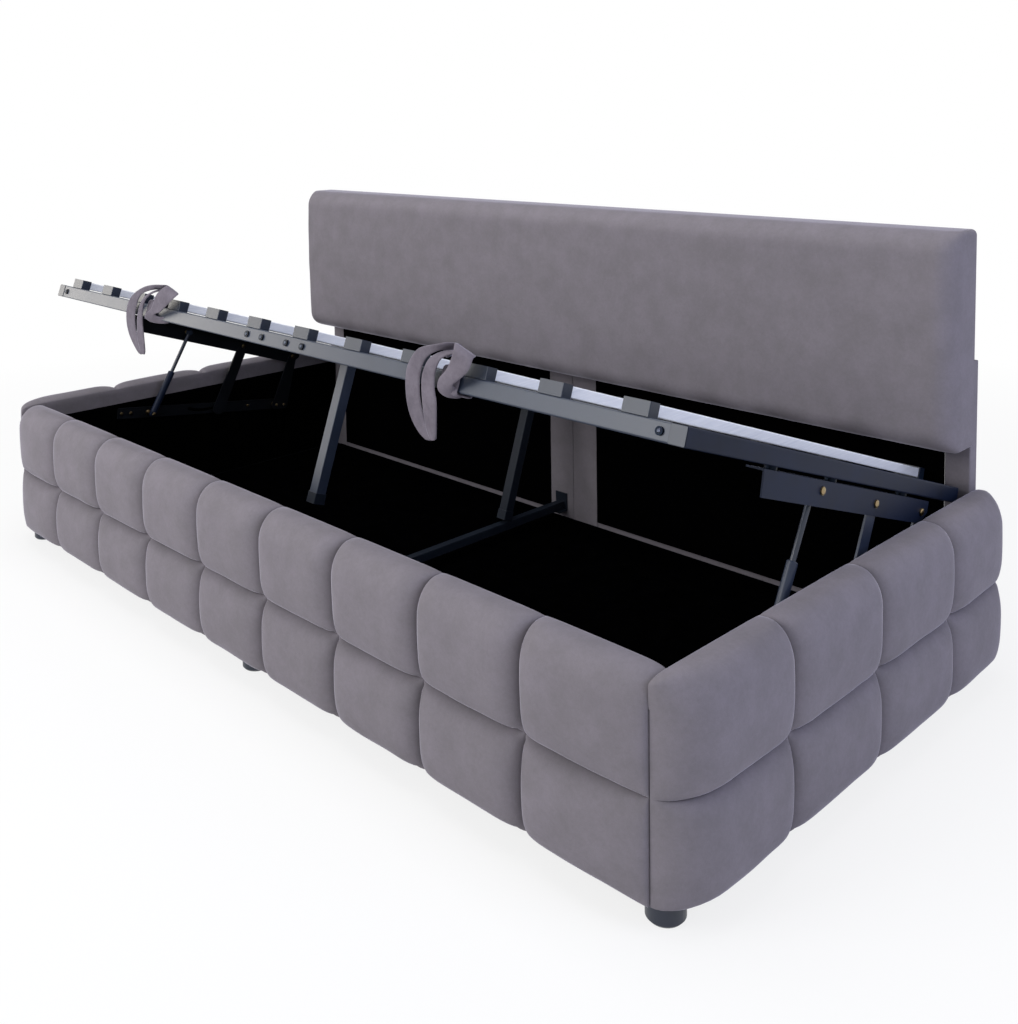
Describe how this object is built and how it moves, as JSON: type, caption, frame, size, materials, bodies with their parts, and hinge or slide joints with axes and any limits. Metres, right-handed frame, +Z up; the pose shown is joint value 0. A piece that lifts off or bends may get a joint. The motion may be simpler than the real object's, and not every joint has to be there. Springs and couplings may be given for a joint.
{
  "type": "ottoman storage bed",
  "caption": "Upholstered storage bed with a tufted box, a padded long-side headboard and a slatted frame that lifts on gas struts.",
  "frame": {"origin": "middle of the bounding box's base, on the floor under the middle of the bed", "axes": "+X along the bed's length to the right seen from the opening side, +Y towards the headboard side at the back, +Z up"},
  "size_m": [2.182, 1.0583, 0.855],
  "materials": {
    "velvet": "short velvet pile",
    "black_lining": "matt non-woven",
    "panel_board": "raw board",
    "floor_hardboard": "black faced hardboard",
    "grey_paint": "satin powder coat",
    "dark_paint": "satin powder coat",
    "rod_steel": "dark ground rod",
    "rivet_metal": "yellow zinc",
    "bolt_steel": "black oxide",
    "slat_wood": "pale laminated slat",
    "cap_plastic": "moulded",
    "foot_plastic": "moulded"
  },
  "bodies": {
    "bed_box": {"back_linings": "black_lining", "back_rails": "velvet", "back_upright_centre_left": "velvet", "back_upright_centre_right": "velvet", "back_upright_end_left": "velvet", "back_upright_end_right": "velvet", "bracket_fasteners": "rivet_metal", "corner_plates": "grey_paint", "crossbar_hangers": "grey_paint", "end_panel_board_left": "panel_board", "end_panel_board_right": "panel_board", "end_panel_lining_left": "black_lining", "end_panel_lining_right": "black_lining", "end_panel_padding_left": "velvet", "end_panel_padding_right": "velvet", "feet": "foot_plastic", "floor_board_left": "floor_hardboard", "floor_board_right": "floor_hardboard", "floor_centre_bar": "grey_paint", "floor_crossbar": "grey_paint", "floor_ledges": "grey_paint", "front_panel_board": "panel_board", "front_panel_lining": "black_lining", "front_panel_padding": "velvet", "headboard_board": "panel_board", "headboard_cushion": "velvet", "hinge_pins": "rivet_metal", "hinge_upright_left": "dark_paint", "hinge_upright_right": "dark_paint", "lower_bracket_left": "dark_paint", "lower_bracket_right": "dark_paint", "strut_studs_lower": "rivet_metal"},
    "lift_frame": {"front_rail_left": "grey_paint", "front_rail_right": "grey_paint", "rear_rail_left": "grey_paint", "rear_rail_right": "grey_paint", "end_rail_left": "grey_paint", "end_rail_right": "grey_paint", "rail_sleeves": "grey_paint", "tube_plugs": "cap_plastic", "centre_rail": "grey_paint", "leg_front": "grey_paint", "leg_rear": "grey_paint", "leg_caps": "cap_plastic", "slats_left": "slat_wood", "slats_right": "slat_wood", "slat_caps": "cap_plastic", "upper_bracket_left": "dark_paint", "upper_bracket_right": "dark_paint", "stay_pins": "rivet_metal", "strut_studs_upper": "rivet_metal", "frame_bolts": "bolt_steel", "pull_strap_left": "velvet", "pull_strap_right": "velvet"},
    "stay_left": {"stay_left": "dark_paint"},
    "strut_cylinder_left": {"strut_cylinder_left": "dark_paint"},
    "strut_rod_left": {"strut_rod_left": "rod_steel"},
    "stay_right": {"stay_right": "dark_paint"},
    "strut_cylinder_right": {"strut_cylinder_right": "dark_paint"},
    "strut_rod_right": {"strut_rod_right": "rod_steel"}
  },
  "joints": [
    {"name": "frame_lift", "type": "hinge", "parent": "bed_box", "child": "lift_frame", "pos_m": [0, 0.3135, 0.355], "axis": [1, 0, 0], "range_deg": [0, 19.2], "stiffness_Nm_per_rad": 60, "springref_deg": -85.94},
    {"name": "stay_swing_left", "type": "hinge", "parent": "lift_frame", "child": "stay_left", "pos_m": [-0.9955, 0.14351, 0.4142], "axis": [1, 0, 0], "range_deg": [-50.95, 0]},
    {"name": "strut_swing_left", "type": "hinge", "parent": "bed_box", "child": "strut_cylinder_left", "pos_m": [-0.984, -0.1555, 0.27156], "axis": [1, 0, 0], "range_deg": [-18.3, 0]},
    {"name": "strut_stroke_left", "type": "slide", "parent": "strut_cylinder_left", "child": "strut_rod_left", "axis": [0, 0.5002, 0.8659], "range_m": [-0.11, 0]},
    {"name": "stay_swing_right", "type": "hinge", "parent": "lift_frame", "child": "stay_right", "pos_m": [0.9955, 0.14351, 0.4142], "axis": [1, 0, 0], "range_deg": [-50.95, 0]},
    {"name": "strut_swing_right", "type": "hinge", "parent": "bed_box", "child": "strut_cylinder_right", "pos_m": [0.984, -0.1555, 0.27156], "axis": [1, 0, 0], "range_deg": [-18.3, 0]},
    {"name": "strut_stroke_right", "type": "slide", "parent": "strut_cylinder_right", "child": "strut_rod_right", "axis": [0, 0.5002, 0.8659], "range_m": [-0.11, 0]}
  ],
  "couplings": [
    {"joint": "stay_swing_left", "follows": "frame_lift", "ratio": -2.6505},
    {"joint": "strut_swing_left", "follows": "frame_lift", "ratio": -0.94843},
    {"joint": "strut_stroke_left", "follows": "frame_lift", "m_per_rad": -0.32704},
    {"joint": "stay_swing_right", "follows": "frame_lift", "ratio": -2.6505},
    {"joint": "strut_swing_right", "follows": "frame_lift", "ratio": -0.94843},
    {"joint": "strut_stroke_right", "follows": "frame_lift", "m_per_rad": -0.32704}
  ]
}
